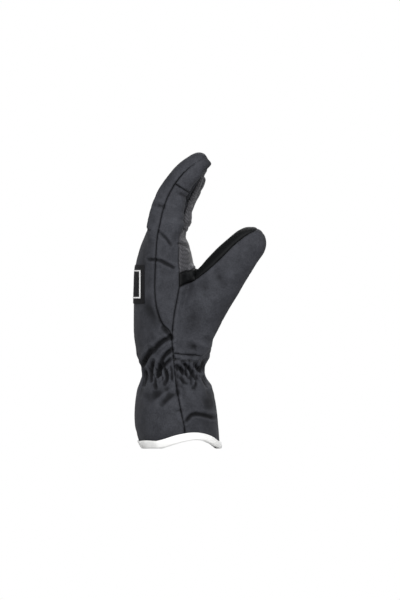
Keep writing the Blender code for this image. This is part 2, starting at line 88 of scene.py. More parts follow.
# Seams in the XZ plane. A finger's seams stand at these shares of its half depth.
BACK_SHARE, PALM_SHARE, INDEX_PALM_SHARE = -0.22, 0.62, 0.97
SEAM_STEPS = (0.24, 0.4, 0.55, 0.7, 0.85, 1.0, 1.25)
CAP_STEP = 0.68
SIDE_WIDE, THUMB_WIDE = -36.4, -10.0
FINGER_FOOT = 196.0
SIDE_SEAM = ((-12.4, -20.0), (-12.9, 0.0), (-14.1, 14.9), (-18.4, 35.3), (-22.0, 54.1),
             (-24.3, 71.9), (-25.8, 89.5))
THUMB_ROOT_SEAM = ((-25.8, 89.5), (-14.1, 88.1), (-4.5, 87.4), (6.9, 90.1), (60.0, 92.6))
THUMB_SIDE_SEAM = ((-27.0, 102.0), (-26.4, 110.5), (-25.1, 124.1), (-22.1, 138.6), (-19.5, 152.0))
BACK_SIDE_SEAM = ((-28.7, 110.1), (-36.8, 117.0), (-41.3, 130.2), (-43.1, 143.4), (-43.5, 155.6),
                  (-42.3, 181.9), (-41.0, 198.0))
PALM_SIDE_SEAM = ((-19.7, 165.0), (-20.6, 176.6), (-19.8, 188.0), (-19.8, 198.0))
THUMB_BAND_SEAM = ((-5.8, 158.4), (7.7, 168.2), (21.1, 181.0), (31.1, 191.6), (43.7, 201.6),
                   (52.6, 205.0), (60.0, 215.0))
CROTCH = (-3.9, 170.1)

# Folds on the thumb side: line in the XZ plane, depth, half width.
FOLDS = (
    (((-47.7, 94.5), (-51.0, 86.0), (-55.5, 78.5)), 2.8, 1.8),
    (((-28.2, 103.9), (-35.3, 101.1), (-41.8, 95.4), (-49.4, 87.0), (-54.0, 77.5)), 3.2, 2.0),
    (((-27.3, 93.2), (-35.3, 85.5), (-39.0, 76.0), (-39.5, 70.0)), 3.0, 1.8),
    (((-29.0, 83.2), (-36.8, 75.7), (-40.0, 68.2)), 2.4, 1.7),
    (((-44.5, 82.5), (-46.5, 73.0), (-46.8, 64.0)), 2.3, 1.6),
    (((-52.0, 74.0), (-51.0, 66.0), (-53.0, 60.5)), 1.8, 1.5),
    (((-33.0, 73.5), (-30.5, 67.0), (-34.0, 61.0)), 1.9, 1.4),
    (((-41.5, 68.5), (-43.5, 62.0), (-42.0, 57.5)), 1.7, 1.4),
    (((-27.5, 69.5), (-26.5, 63.5)), 1.4, 1.3),
    (((-22.1, 77.1), (-14.2, 71.0)), 2.9, 1.8),
    (((-16.5, 80.4), (-8.0, 71.9), (-5.5, 66.5)), 2.8, 1.6),
    (((-4.8, 79.4), (-1.7, 73.1)), 2.6, 1.7),
    (((3.5, 82.0), (0.5, 74.0)), 2.6, 1.8),
    (((-20.5, 68.0), (-15.0, 62.5), (-11.0, 60.5)), 1.7, 1.4),
    (((-11.5, 69.0), (-8.0, 61.5), (-9.0, 55.5)), 1.8, 1.4),
    (((-2.5, 68.0), (-4.0, 61.0), (-6.5, 55.5)), 1.7, 1.4),
    (((2.5, 66.0), (6.5, 59.0)), 1.5, 1.5),
    (((-35.0, 113.3), (-26.9, 103.4)), 2.0, 1.7),
    (((-53.1, 135.8), (-41.8, 122.7), (-30.5, 109.5)), 1.0, 5.2),
    (((-36.8, 42.0), (-28.7, 49.4), (-22.7, 52.2)), 2.0, 2.4),
    (((-47.7, 48.4), (-33.7, 53.7)), 1.1, 3.6),
    (((-14.2, 24.9), (-10.8, 29.1), (-7.1, 32.6), (3.0, 31.9), (13.1, 28.7)), 2.2, 1.6),
    (((5.2, 47.5), (8.9, 41.8)), 1.3, 3.8),
    (((-24.0, 35.7), (-18.3, 35.7)), 1.3, 1.6),
    (((-39.0, 203.5), (-32.4, 197.9), (-27.7, 191.3)), 1.6, 1.4),
    (((-48.5, 177.7), (-39.0, 177.2), (-31.5, 173.4), (-23.0, 169.2)), 1.9, 1.4),
    (((-41.8, 228.9), (-33.4, 227.0)), 1.7, 2.0),
    (((-20.5, 192.2), (-14.6, 191.3), (-9.9, 187.1)), 2.4, 1.3),
    (((15.5, 165.0), (20.2, 156.5)), 1.1, 3.5),
    (((1.4, 155.6), (6.0, 147.0)), 0.7, 3.8),
    (((-9.3, 97.3), (-2.4, 93.8)), 1.1, 2.4),
    (((5.6, 102.3), (9.5, 98.5)), 1.5, 2.6),
    (((-4.0, 130.0), (-10.0, 116.0)), 0.5, 6.0),
)
# Folds that run across the hand from the thumb side to the far side.
CROSS_FOLDS = (
    (((-52.5, 206.0), (-47.5, 205.0)), 0.9, 1.3),
)
# Below the thumb's root seam: the rolled edge, then a row of stitches.
ROLL_DROP, STITCH_DROP = 2.9, 5.6
STITCH_PITCH, STITCH_LONG, STITCH_THICK = 3.1, 2.4, 0.55
WRIST = 72.0
HEM_ARCH, HEM_FLAT, HEM_ARCH_ANGLE, HEM_SHARPNESS = 9.6, 1.6, 68.0, 8
TAPE_COVER = 1.8  # from the hem edge up to the shell's edge inside the tape
# Hem tape across: how far in from the glove's outline, height.
TAPE_SECTION = ((-0.5, 7.3), (-1.1, 7.0), (-1.35, 5.5), (-1.45, 3.2), (-1.2, 1.1), (-0.5, 0.15),
                (0.8, 0.0), (2.6, 0.0), (3.9, 0.15), (4.5, 1.0), (4.6, 3.2), (4.6, 5.6),
                (4.35, 7.0), (3.8, 7.2), (3.3, 6.8), (3.2, 1.5), (0.3, 1.5), (0.1, 6.8))
# Patch: its bottom, top, far edge and near edge, and the two edges of its border.
LABEL_LOW, LABEL_HIGH, LABEL_TO, LABEL_SIDE = 136.3, 172.5, 18.1, -52.6
BORDER_OUT, BORDER_IN = 4.9, 6.1
# Height and how much fuller the palm side is there than a plain sweep.
PALM_SWELL = ((60, 0), (80, 0), (86, 1.0), (90, 1.9), (97, 2.7), (103, 0), (198, 0), (204, 2.4),
              (209, 4.2), (213, 4.6), (218, 3.8), (222.5, 2.2), (227, 2.0), (233, 0.6), (241, 0))

# Layers: thickness of the shell, how far the inner layers are sunk before their remesh, the
# least depth of any of their points; then depth under the skin and thickness of each.
SHELL_THICK, FIRST_SINK, LEAST_DEPTH = 0.7, 1.2, 0.9
WADDING, CUFF_WADDING, ELASTIC = (1.3, 2.1), (1.3, 1.1), (1.2, 0.9)
FILM, FLEECE, CUFF_FLEECE = (3.9, 0.3), (4.6, 0.9), (2.6, 0.8)
HAND_FROM, CUFF_TO, FINGERS_FROM = 62.0, 60.5, 208.5


# --- Shape of the glove -----------------------------------------------------------------------

def soft_row(table, key, reach):
    """Row of a table at a place, rounded off between its stations."""
    keys = [row[0] for row in table]
    places = np.clip(np.linspace(key - reach, key + reach, 11), keys[0], keys[-1])
    return [float(np.mean(np.interp(places, keys, column))) for column in list(zip(*table))[1:]]


def squared(value, power):
    """Sine or cosine of a ring that is between round and square."""
    return math.copysign(abs(value) ** (2.0 / power), value)


def on_axis(digit, share):
    """Place and lean of a digit's centre line; past the end it runs straight on."""
    run = digit.length - digit.tip
    steps = np.linspace(0.0, min(share, 1.0), 61)
    leans = np.radians(digit.lean_foot + (digit.lean_tip - digit.lean_foot) * steps ** digit.bend)
    part = min(share, 1.0) * run
    lean = float(leans[-1])
    more = max(0.0, share - 1.0) * run
    return (digit.x + float(np.mean(np.sin(leans))) * part + math.sin(lean) * more,
            digit.y + digit.spread * min(share, 1.0),
            digit.z + float(np.mean(np.cos(leans))) * part + math.cos(lean) * more, lean)


def loft(rings):
    """Closed body through a row of rings, bridged one to the next."""
    bm = bmesh.new()
    before = None
    for ring in rings:
        made = bmesh.ops.create_circle(bm, segments=len(ring), radius=1.0)["verts"]
        for vertex, place in zip(made, ring):
            vertex.co = Vector(place) * MM
        edges = list({edge for vertex in made for edge in vertex.link_edges})
        if before:
            bmesh.ops.bridge_loops(bm, edges=before + edges)
        before = edges
    bmesh.ops.holes_fill(bm, edges=[edge for edge in bm.edges if edge.is_boundary], sides=0)
    bmesh.ops.recalc_face_normals(bm, faces=bm.faces)
    return bm


def hand_ring(height, grow, sides=72):
    """Ring of the hand or cuff at a height."""
    back, palm, half, power = soft_row(HAND, height, 4.0)
    ring = []
    for side in range(sides):
        angle = 2 * math.pi * side / sides
        deep = ((palm - back) / 2 + grow) * squared(math.cos(angle), power)
        wide = (half + grow) * squared(math.sin(angle), power)
        ring.append((SHIFT + (back + palm) / 2 + deep, wide, height))
    return ring


def digit_ring(centre, deep, wide, sides=40):
    """Ring of a digit across its centre line."""
    x, y, z, lean = centre
    ring = []
    for side in range(sides):
        angle = 2 * math.pi * side / sides
        across = deep * squared(math.cos(angle), 2.5)
        ring.append((SHIFT + x + across * math.cos(lean), y + wide * squared(math.sin(angle), 2.5),
                     z - across * math.sin(lean)))
    return ring


def hand_form(grow):
    """Plain form of the cuff and hand up to the feet of the fingers."""
    return loft([hand_ring(height, grow) for height in np.arange(-16.0, 206.1, 3.0)])


def digit_form(digit, sizes, grow):
    """Plain form of a finger or the thumb, with its rounded tip."""
    rings = []
    droop = THUMB_DROOP if digit is THUMB else ((0.0, 0.0), (1.0, 0.0))
    for share in np.linspace(0.0, 1.0, 34):
        deep, wide = soft_row(sizes, share, 0.07)
        x, y, z, lean = on_axis(digit, share)
        aside = float(np.interp(share, *zip(*droop)))
        centre = (x + aside * math.cos(lean), y, z - aside * math.sin(lean), lean)
        rings.append(digit_ring(centre, deep + grow, wide + grow))
    x, y, z, lean = centre
    for angle in (15, 30, 45, 58, 70, 80):
        out = (digit.tip + grow) * math.sin(math.radians(angle))
        thin = math.cos(math.radians(angle))
        centre = (x + math.sin(lean) * out, y, z + math.cos(lean) * out, lean)
        rings.append(digit_ring(centre, (deep + grow) * thin, (wide + grow) * thin))
    return loft(rings)


def to_object(name, bm):
    mesh = bpy.data.meshes.new(name)
    bm.to_mesh(mesh)
    bm.free()
    piece = bpy.data.objects.new(name, mesh)
    bpy.context.scene.collection.objects.link(piece)
    return piece


def settle(piece):
    """Make a piece's modifiers part of its mesh."""
    graph = bpy.context.evaluated_depsgraph_get()
    mesh = bpy.data.meshes.new_from_object(piece.evaluated_get(graph))
    piece.modifiers.clear()
    piece.data = mesh
    return piece


def remesh(piece, size):
    step = piece.modifiers.new("remesh", "REMESH")
    step.mode = "VOXEL"
    step.voxel_size = size * MM
    return settle(piece)


def places_of(mesh):
    flat = np.zeros(len(mesh.vertices) * 3)
    mesh.vertices.foreach_get("co", flat)
    return flat.reshape(-1, 3)


def normals_of(mesh):
    flat = np.zeros(len(mesh.vertices) * 3)
    mesh.vertices.foreach_get("normal", flat)
    return flat.reshape(-1, 3)


def put_places(mesh, places):
    mesh.vertices.foreach_set("co", places.ravel())
    mesh.update()


def puff(piece, held, cap, pressure):
    """Blow a padded form up like a stuffed cushion, held where it is sewn down."""
    remesh(piece, CLOTH_VOXEL)
    start = places_of(piece.data)
    group = piece.vertex_groups.new(name="held")
    for index in np.nonzero(held(start))[0]:
        group.add([int(index)], 1.0, "REPLACE")
    step = piece.modifiers.new("cloth", "CLOTH")
    cloth = step.settings
    cloth.use_pressure = True
    cloth.uniform_pressure_force = pressure
    cloth.effector_weights.gravity = 0.0
    cloth.vertex_group_mass = "held"
    cloth.mass = 0.02
    cloth.tension_stiffness = cloth.compression_stiffness = 5.0
    cloth.bending_stiffness = 0.3
    cloth.quality = 5
    for tick in range(1, CLOTH_FRAMES + 1):
        bpy.context.scene.frame_set(tick)
    graph = bpy.context.evaluated_depsgraph_get()
    ended = places_of(piece.evaluated_get(graph).to_mesh())
    piece.modifiers.clear()
    bpy.context.scene.frame_set(1)
    moved = ended - start
    length = np.linalg.norm(moved, axis=1)
    keep = np.minimum(1.0, cap * MM / np.maximum(length, 1e-9))
    put_places(piece.data, start + moved * keep[:, None])
    fine = piece.modifiers.new("fine", "SUBSURF")
    fine.levels = fine.render_levels = 1
    return settle(piece)


def line_distance(x, z, line):
    """Distance in the XZ plane from points to a polyline."""
    best = np.full(len(x), 1e9)
    for (ax, az), (bx, bz) in zip(line, line[1:]):
        dx, dz = bx - ax, bz - az
        share = np.clip(((x - ax) * dx + (z - az) * dz) / (dx * dx + dz * dz), 0, 1)
        best = np.minimum(best, np.hypot(x - ax - share * dx, z - az - share * dz))
    return best


def eased(line):
    """Polyline with its corners cut, ends kept."""
    cut = [line[0]]
    for (ax, az), (bx, bz) in zip(line, line[1:]):
        cut.append((ax * 0.75 + bx * 0.25, az * 0.75 + bz * 0.25))
        cut.append((ax * 0.25 + bx * 0.75, az * 0.25 + bz * 0.75))
    return cut + [line[-1]]


def column(table, place):
    return [row[place] for row in table]


def finger_line(digit, across):
    """Points along a finger seam that stands at a share of the finger's half depth."""
    line = []
    for share in SEAM_STEPS:
        x, _, z, lean = on_axis(digit, share)
        out = across * float(np.interp(share, column(FINGER_SIZES, 0), column(FINGER_SIZES, 1)))
        line.append((x + out * math.cos(lean), z - out * math.sin(lean)))
    return tuple(line)


BACK_LINES = [eased(BACK_SIDE_SEAM + finger_line(digit, BACK_SHARE)) for digit in FINGERS]
PALM_LINES = [eased(PALM_SIDE_SEAM + finger_line(INDEX, INDEX_PALM_SHARE))]
PALM_LINES += [eased(PALM_SIDE_SEAM + finger_line(digit, PALM_SHARE)) for digit in FINGERS[1:]]
SIDE_LINE = eased(SIDE_SEAM)
JOIN_LINE = [SIDE_SEAM[-1], THUMB_SIDE_SEAM[0], BACK_SIDE_SEAM[0]]
THUMB_LINE = eased(THUMB_SIDE_SEAM)
ROOT_LINE = eased(THUMB_ROOT_SEAM)
BAND_LINE = eased(THUMB_BAND_SEAM)


def cross_line():
    """Cross seam of the index fingertip, from the back seam over the palm side."""
    x, _, z, lean = on_axis(INDEX, CAP_STEP)
    back = BACK_SHARE * float(np.interp(CAP_STEP, column(FINGER_SIZES, 0), column(FINGER_SIZES, 1)))
    return [(x + back * math.cos(lean), z - back * math.sin(lean)),
            (x + 30 * math.cos(lean), z - 30 * math.sin(lean))]


CROSS_LINE = cross_line()


def inside(x, z, outline):
    """Which points lie inside a closed outline of the XZ plane."""
    hit = np.zeros(len(x), bool)
    for (ax, az), (bx, bz) in zip(outline, outline[1:] + outline[:1]):
        if az == bz:
            continue
        crosses = (az > z) != (bz > z)
        hit ^= crosses & (x < ax + (z - az) * (bx - ax) / (bz - az))
    return hit


def panel_of(places):
    """Name of the sewn panel that each point of the skin belongs to."""
    x, y, z = places[:, 0] / MM - SHIFT, places[:, 1] / MM, places[:, 2] / MM
    finger = np.searchsorted(GAPS, y)
    name = np.full(len(x), "palm_panel", dtype=object)
    back = np.zeros(len(x), bool)
    fork = np.zeros(len(x), bool)
    for index in range(4):
        rise = list(SIDE_LINE) + JOIN_LINE[1:2] + BACK_LINES[index]
        closing = [(rise[-1][0], 4 * FAR), (-FAR, 4 * FAR), (-FAR, -FAR), (rise[0][0], -FAR)]
        mine = finger == index
        back |= mine & inside(x, z, rise + closing)
        band = [point for point in BACK_LINES[index] if point[1] > FINGER_FOOT]
        band += [point for point in PALM_LINES[index] if point[1] > FINGER_FOOT][::-1]
        aside = (y < FINGERS[index].y) & (index > 0) | (y > FINGERS[index].y) & (index < 3)
        fork |= mine & aside & inside(x, z, band)
    strip_line = BACK_LINES[0] + PALM_LINES[0][::-1] + THUMB_LINE[::-1]
    ahead = inside(x, z, [CROSS_LINE[0], (CROSS_LINE[0][0], 400.0), (200.0, 400.0), CROSS_LINE[1]])
    strip = (y < SIDE_WIDE) & inside(x, z, strip_line) & ~ahead
    thumb_zone = ROOT_LINE[::-1] + THUMB_LINE + BAND_LINE + [(FAR, 215.0), (FAR, 92.6)]
    leather_zone = BAND_LINE + [(60.0, 225.0), (24.0, 232.0), (-1.0, 182.0), CROTCH]
    crotch_zone = [PALM_LINES[0][0], CROTCH, BAND_LINE[0], THUMB_LINE[-1]]
    near = y < THUMB_WIDE
    cuff_zone = SIDE_LINE + ROOT_LINE[1:] + [(FAR, 92.6), (FAR, -60.0), (SIDE_LINE[0][0], -60.0)]
    name[inside(x, z, cuff_zone)] = "palm_cuff_panel"
    name[back] = "back_panel"
    for index, label in enumerate(("index_middle", "middle_ring", "ring_little")):
        name[fork & (y > FINGERS[index].y) & (y < FINGERS[index + 1].y)] = "fourchette_" + label
    name[near & inside(x, z, thumb_zone)] = "thumb_shell"
    name[near & inside(x, z, leather_zone)] = "thumb_leather"
    name[near & inside(x, z, crotch_zone)] = "thumb_crotch"
    name[strip] = "index_side_strip"
    cap = (y < GAPS[0]) & ahead & ~back & (z > 225)
    name[cap] = "index_tip_cap"
    return name


def hem_lift(angle):
    """Height of the hem edge above the floor at an angle round the cuff."""
    off = abs(math.remainder(angle, 2 * math.pi)) - math.radians(HEM_ARCH_ANGLE)
    arch = HEM_ARCH * ((1 + math.cos(off)) / 2) ** HEM_SHARPNESS
    return max(0.0, arch - HEM_FLAT)


def at_seams(places, lines):
    """Which points are sewn down along some seam lines."""
    x, z = places[:, 0] / MM - SHIFT, places[:, 2] / MM
    return np.min([line_distance(x, z, line) for line in lines], axis=0) < SEAM_HOLD


def hold_hand(places):
    """Which points of the hand stay put: its seams, hem, wrist and finger end."""
    z = places[:, 2] / MM
    return at_seams(places, (SIDE_LINE, JOIN_LINE, BACK_LINES[0])) | (z < 2) | (z > FINGER_FOOT) | (
        abs(z - WRIST) < WRIST_HOLD)


def hold_digit(digit, lines):
    """Test for the points of a digit that stay put: its seams and its foot."""
    foot = on_axis(digit, 0.2)[2]
    return lambda places: at_seams(places, lines) | (places[:, 2] / MM < foot)


def keep_apart(piece, finger):
    """Leave a clear slit between a finger and its neighbours above the hand."""
    places = places_of(piece.data)
    low = GAPS[finger - 1] + SLIT if finger > 0 else -FAR
    high = GAPS[finger] - SLIT if finger < 3 else FAR
    above = places[:, 2] > 203.0 * MM
    places[above, 1] = np.clip(places[above, 1], low * MM, high * MM)
    put_places(piece.data, places)


def skin():
    """Outer face of the whole padded glove as one fine mesh."""
    parts = [("hand", hand_form, (), hold_hand, HAND_PUFF)]
    for index, digit in enumerate(FINGERS):
        held = hold_digit(digit, (BACK_LINES[index], PALM_LINES[index]))
        parts.append((FINGER_NAMES[index], digit_form, (digit, FINGER_SIZES), held, FINGER_PUFF))
    held = hold_digit(THUMB, (BAND_LINE,))
    parts.append(("thumb", digit_form, (THUMB, THUMB_SIZES), held, THUMB_PUFF))
    whole = bmesh.new()
    for name, maker, facts, held, (grow, slack, cap, pressure) in parts:
        piece = to_object(name, maker(*facts, grow - slack))
        puff(piece, held, cap, pressure)
        if name in FINGER_NAMES:
            keep_apart(piece, FINGER_NAMES.index(name))
        whole.from_mesh(piece.data)
        bpy.data.objects.remove(piece)
    fork = Matrix.LocRotScale(Vector(FORK_PLACE) * MM, None, Vector(FORK_SIZE) * MM)
    bmesh.ops.create_uvsphere(whole, u_segments=24, v_segments=16, radius=1.0, matrix=fork)
    body = remesh(to_object("skin", whole), VOXEL)
    bm = bmesh.new()
    bm.from_mesh(body.data)
    bpy.data.objects.remove(body)
    for _ in range(4):
        bmesh.ops.smooth_vert(bm, verts=bm.verts, factor=0.5, use_axis_x=True, use_axis_y=True,
                              use_axis_z=True)
    return bm


class Cutter:
    """Skin with the middles of its faces at hand, so that seams are cut in quickly."""

    def __init__(self, bm):
        self.bm = bm
        self.faces = list(bm.faces)
        flat = [part for face in self.faces for part in face.calc_center_median()]
        self.middles = np.array(flat).reshape(-1, 3) / MM - (SHIFT, 0, 0)

    def bisect(self, hit, place, normal):
        indices = np.nonzero(hit)[0]
        if not len(indices):
            return
        faces = [self.faces[index] for index in indices]
        edges = list({edge for face in faces for edge in face.edges})
        verts = list({vertex for face in faces for vertex in face.verts})
        made = bmesh.ops.bisect_plane(self.bm, geom=faces + edges + verts, dist=0.12 * MM,
                                      plane_co=(Vector(place) + Vector((SHIFT, 0, 0))) * MM,
                                      plane_no=normal)
        self.middles[indices] = 1e6
        fresh = [item for item in made["geom"] if isinstance(item, bmesh.types.BMFace)]
        flat = [part for face in fresh for part in face.calc_center_median()]
        self.faces += fresh
        self.middles = np.vstack([self.middles, np.array(flat).reshape(-1, 3) / MM - (SHIFT, 0, 0)])

    def slit(self, line, y_from=-FAR, y_to=FAR):
        """Cut edges in along a seam line that runs through the skin along Y."""
        for (ax, az), (bx, bz) in zip(line, line[1:]):
            length = math.hypot(bx - ax, bz - az)
            if length < 1e-3:
                continue
            dx, dz = (bx - ax) / length, (bz - az) / length
            x, y, z = self.middles.T
            off = np.abs((x - ax) * dz - (z - az) * dx)
            along = (x - ax) * dx + (z - az) * dz
            hit = (off < 1.3) & (along > -1.0) & (along < length + 1.0) & (y > y_from) & (y < y_to)
            self.bisect(hit, (ax, 0, az), (dz, 0, -dx))

    def slit_flat(self, place, x_from, z_from):
        """Cut edges in along a plane across Y."""
        x, y, z = self.middles.T
        hit = (np.abs(y - place) < 1.5) & (x > x_from) & (z > z_from)
        self.bisect(hit, (0, place, 0), (0, 1, 0))


def bump_noise(places, size, seed):
    """Smooth noise from -1 to 1 at each point."""
    far = Vector((seed * 17.3, seed * 9.1, seed * 5.7))
    step = 1.0 / (size * MM)
    return np.array([noise.noise(Vector(place) * step + far) for place in places])


def wrist_rucks(places):
    """How far the gathered wrist stands in or out, in millimetres."""
    x, y, z = places[:, 0] / MM - SHIFT, places[:, 1] / MM, places[:, 2] / MM
    middle = (np.interp(z, column(HAND, 0), column(HAND, 1))
              + np.interp(z, column(HAND, 0), column(HAND, 2))) / 2
    angle = np.arctan2(y / 37.0, (x - middle) / 31.0)
    wander = bump_noise(places * (1, 1, 0.6), 17.0, 1)
    patch = bump_noise(places * (1, 1, 1.3), 9.0, 2)
    fine = np.abs(np.sin(angle * 23 + 2.6 * wander + (z - WRIST) * 0.07))
    out = (fine ** 0.6 - 0.75) * 3.3 * np.exp(-((z - WRIST) / 9.0) ** 2) * (0.85 + 0.6 * patch)
    high = np.sin(angle * 13 + 3.4 * wander - (z - 88) * 0.16)
    out += high * 1.1 * np.exp(-((z - 86) / 7.0) ** 2) * (0.6 + 0.8 * patch)
    low = np.sin(angle * 15 + 3.0 * wander + (z - 56) * 0.12)
    out += low * 1.15 * np.exp(-((z - 57) / 7.0) ** 2) * (0.6 + 0.8 * patch)
    out -= 0.7 * np.exp(-((z - WRIST) / 6.5) ** 4)
    return out


def dimple(distance, depth, wide):
    """Cross section of a fold: a valley with a low ridge on either side."""
    share = distance / wide
    return -depth * np.exp(-share ** 1.35) + 0.34 * depth * np.exp(-((share - 2.0) / 0.8) ** 2)


def fold_depths(places, normals):
    """How far folds, creases and fullness move each point out or in, in millimetres."""
    x, y, z = places[:, 0] / MM - SHIFT, places[:, 1] / MM, places[:, 2] / MM
    front = 1.0 / (1.0 + np.exp((normals[:, 1] + 0.15) * 14.0))
    out = np.zeros(len(x))
    wobble = bump_noise(places, 7.0, 3)
    for line, depth, wide in FOLDS:
        line = eased(line)
        near = line_distance(x, z, line)
        ends = np.min([np.hypot(x - px, z - pz) for px, pz in (line[0], line[-1])], axis=0)
        fade = np.clip(ends / (2.0 * wide) + 0.3, 0, 1)
        out += dimple(near * (1 + 0.18 * wobble), depth, wide) * fade * front
    row = [(px, pz - STITCH_DROP) for px, pz in ROOT_LINE]
    roll = [(px, pz - ROLL_DROP) for px, pz in ROOT_LINE]
    on_row = dimple(line_distance(x, z, row), 0.7, 0.9)
    on_row += 0.5 * np.exp(-(line_distance(x, z, roll) / 1.7) ** 2)
    on_row *= np.clip(2.0 - 2.2 * normals[:, 0], 0, 1)
    out += on_row * (x > np.interp(z, column(SIDE_SEAM, 1), column(SIDE_SEAM, 0)) + 1)
    for line, depth, wide in CROSS_FOLDS:
        out += dimple(line_distance(x, z, line), depth, wide) * (normals[:, 0] < 0.3)
    swell = np.interp(z, column(PALM_SWELL, 0), column(PALM_SWELL, 1))
    out += swell * np.clip(normals[:, 0] * 1.4, 0, 1) * (x < 24) * np.where(z > 150, 1.0, x > -4)
    far_side = 1.0 - front
    slow = bump_noise(places * (1, 1, 0.8), 26.0, 4)
    soft = bump_noise(places * (1.0, 1.0, 0.7), 12.0, 5)
    crease = np.exp(-(bump_noise(places * (0.8, 0.8, 1.5), 19.0, 6) / 0.1) ** 2)
    crease *= np.clip(bump_noise(places, 23.0, 8) * 4.0, 0, 1)
    free = np.clip(abs(z - WRIST) / 20.0, 0, 1)
    out += slow * 0.55 + soft * 0.25 - crease * 0.4 * far_side * free
    for index, digit in enumerate(FINGERS):
        mine = np.searchsorted(GAPS, y) == index
        for share, depth in ((0.34, 1.3), (0.62, 1.2)):
            cx, _, cz, lean = on_axis(digit, share)
            along = (x - cx) * math.sin(lean) + (z - cz) * math.cos(lean)
            aside = (x - cx) * math.cos(lean) - (z - cz) * math.sin(lean)
            on_palm = np.clip((aside - 2.0) / 5.0, 0, 1) * mine * (z > FINGER_FOOT) * (x < 24)
            out += dimple(abs(along + 0.8 * wobble), depth, 2.2) * on_palm
    return out


def tuck_tip(places):
    """Sharpen the palm-side corner of the index fingertip."""
    x, y, z = places[:, 0] / MM - SHIFT, places[:, 1] / MM, places[:, 2] / MM
    mine = (y < GAPS[0]) & (z > 240)
    corner = np.exp(-(np.hypot(x - 9.6, z - 268.0) / 3.4) ** 2) * mine
    tuck = np.exp(-(np.hypot(x - 9.0, z - 258.5) / 5.5) ** 2) * mine
    shave = np.exp(-(np.hypot(x - 7.5, z - 273.5) / 3.4) ** 2) * mine
    behind = np.exp(-(np.hypot(x - 9.0, z - 257.0) / 9.0) ** 2) * ((y > GAPS[0]) & (z > 230))
    places[:, 0] += (1.4 * corner - 3.2 * tuck - 0.9 * shave - 3.6 * behind) * MM
    places[:, 2] -= (0.3 * corner + 0.7 * shave) * MM
    return places


def seam_tree(bm, panels):
    """Search tree of the points along every seam."""
    edges = [edge for edge in bm.edges if len(edge.link_faces) == 2
             and panels[edge.link_faces[0].index] != panels[edge.link_faces[1].index]]
    points = {vertex.index: vertex.co.copy() for edge in edges for vertex in edge.verts}
    tree = kdtree.KDTree(len(points))
    for index, place in points.items():
        tree.insert(place, index)
    tree.balance()
    return tree


def dress_skin():
    """Skin with seams cut in, folds and rucks, and the panel of each face."""
    bm = skin()
    cutter = Cutter(bm)
    edges = (-FAR,) + GAPS + (FAR,)
    for line in BACK_LINES[:1] + [SIDE_LINE, JOIN_LINE]:
        cutter.slit(line)
    for index in range(1, 4):
        cutter.slit(BACK_LINES[index], edges[index] - 1, edges[index + 1] + 1)
    for index in range(4):
        cutter.slit(PALM_LINES[index], edges[index] - 1, edges[index + 1] + 1)
    cutter.slit(ROOT_LINE)
    for line in (THUMB_LINE, [THUMB_LINE[-1], PALM_LINES[0][0]], BAND_LINE,
                 [THUMB_LINE[-1], BAND_LINE[0]], [BAND_LINE[0], CROTCH, PALM_LINES[0][0]]):
        cutter.slit(line, -FAR, THUMB_WIDE)
    cutter.slit(CROSS_LINE, -FAR, GAPS[0])
    cutter.slit_flat(THUMB_WIDE, -25.0, 86.0)
    for digit in FINGERS:
        cutter.slit_flat(digit.y + digit.spread, -20.0, 235.0)
    bmesh.ops.recalc_face_normals(bm, faces=bm.faces)
    bm.faces.ensure_lookup_table()
    bm.faces.index_update()
    bm.verts.index_update()
    flat = [part for face in bm.faces for part in face.calc_center_median()]
    panels = panel_of(np.array(flat).reshape(-1, 3))
    tree = seam_tree(bm, panels)
    body = to_object("skin", bm)
    places, normals = places_of(body.data), normals_of(body.data)
    seam = np.array([tree.find(Vector(place))[2] for place in places]) / MM
    z = places[:, 2] / MM
    above = np.clip((z - 8.0) / 8.0, 0, 1)
    out = wrist_rucks(places) + fold_depths(places, normals) * above
    faint = np.clip((270.0 - z) / 10.0, 0.12, 1)
    on_tip = (places[:, 0] / MM > 40.0) & (z > 190)
    faint = np.where(on_tip, np.clip((212.0 - z) / 14.0, 0.35, 1), faint)
    faint *= 1.0 - 0.8 * np.exp(-((z - 91.0) / 5.0) ** 4) * np.clip(normals[:, 0] * 2.6 - 1.2, 0, 1)
    out += (-0.95 * np.exp(-(seam / 0.75) ** 2) + 0.45 * np.exp(-((seam - 3.0) / 2.0) ** 2)) * faint
    # Where the seam grooves fade, the painted seam shade in the finishes fades with them.
    seam += 1.6 * (1 - faint)
    beside = np.min([abs(places[:, 1] / MM - gap) for gap in GAPS], axis=0)
    out *= np.where(z > 200.0, np.clip(beside / 3.5, 0.15, 1), 1.0)
    moved = tuck_tip(places + normals * out[:, None] * MM)
    put_places(body.data, moved)
    # The seam distance and the relief also drive the painted shade along seams and in folds.
    for name, values in (("seam", seam), ("relief", out)):
        layer = body.data.attributes.new(name, "FLOAT", "POINT")
        layer.data.foreach_set("value", values.astype(np.float32))
    return body, panels


# --- Finishes ---------------------------------------------------------------------------------

class Wire:
    """A shader socket that takes part in sums."""

    def __init__(self, finish, socket):
        self.finish = finish
        self.socket = socket

    def sum(self, operation, first, second):
        return self.finish.node("ShaderNodeMath", {"operation": operation}, {0: first, 1: second})

    def __add__(self, other):
        return self.sum("ADD", self, other)

    def __sub__(self, other):
        return self.sum("SUBTRACT", self, other)

    def __rsub__(self, other):
        return self.sum("SUBTRACT", other, self)

    def __mul__(self, other):
        return self.sum("MULTIPLY", self, other)

    __radd__ = __add__
    __rmul__ = __mul__


